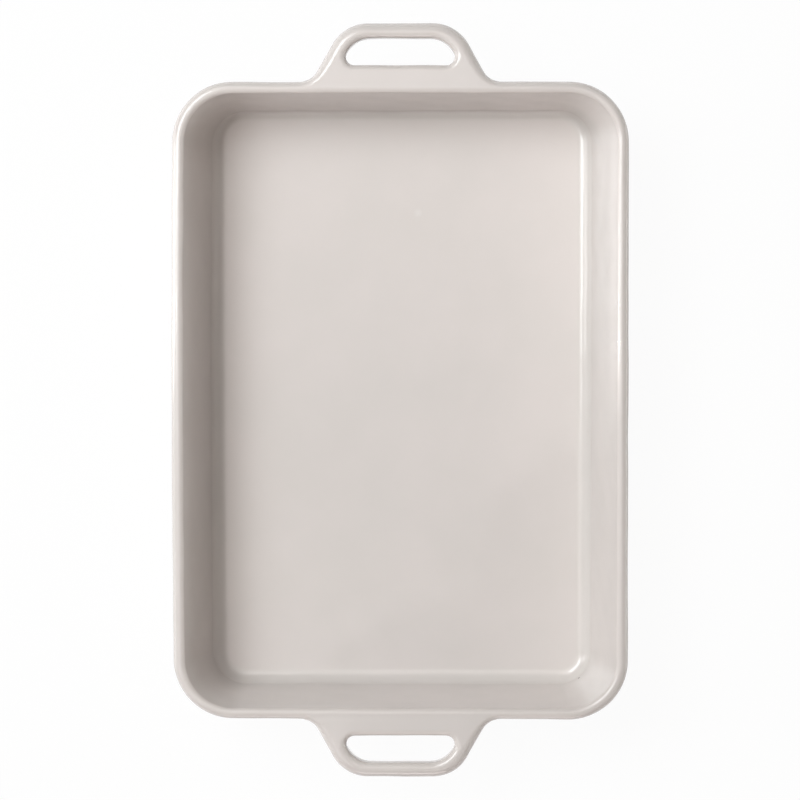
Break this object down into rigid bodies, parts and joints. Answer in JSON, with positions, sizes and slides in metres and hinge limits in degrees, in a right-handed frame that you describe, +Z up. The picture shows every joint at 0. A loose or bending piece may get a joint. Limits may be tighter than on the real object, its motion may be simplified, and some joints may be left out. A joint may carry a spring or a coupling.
{
  "type": "lasagna dish",
  "caption": "Deep rectangular stoneware baking dish with leaning walls, rounded corners and rim, a low foot ring and a flat loop handle at each end.",
  "frame": {"origin": "middle of the foot, on the table plane, under the centre of the dish", "axes": "+Z up out of the dish; Y runs along the dish through both handles, +Y to the rear handle; X runs across it"},
  "size_m": [0.2424, 0.4002, 0.065],
  "materials": {
    "glaze": "glossy warm off-white glaze over stoneware, bare clay under the foot ring"
  },
  "bodies": {
    "root": {"dish_body": "glaze", "rear_handle": "glaze", "front_handle": "glaze"}
  },
  "joints": []
}
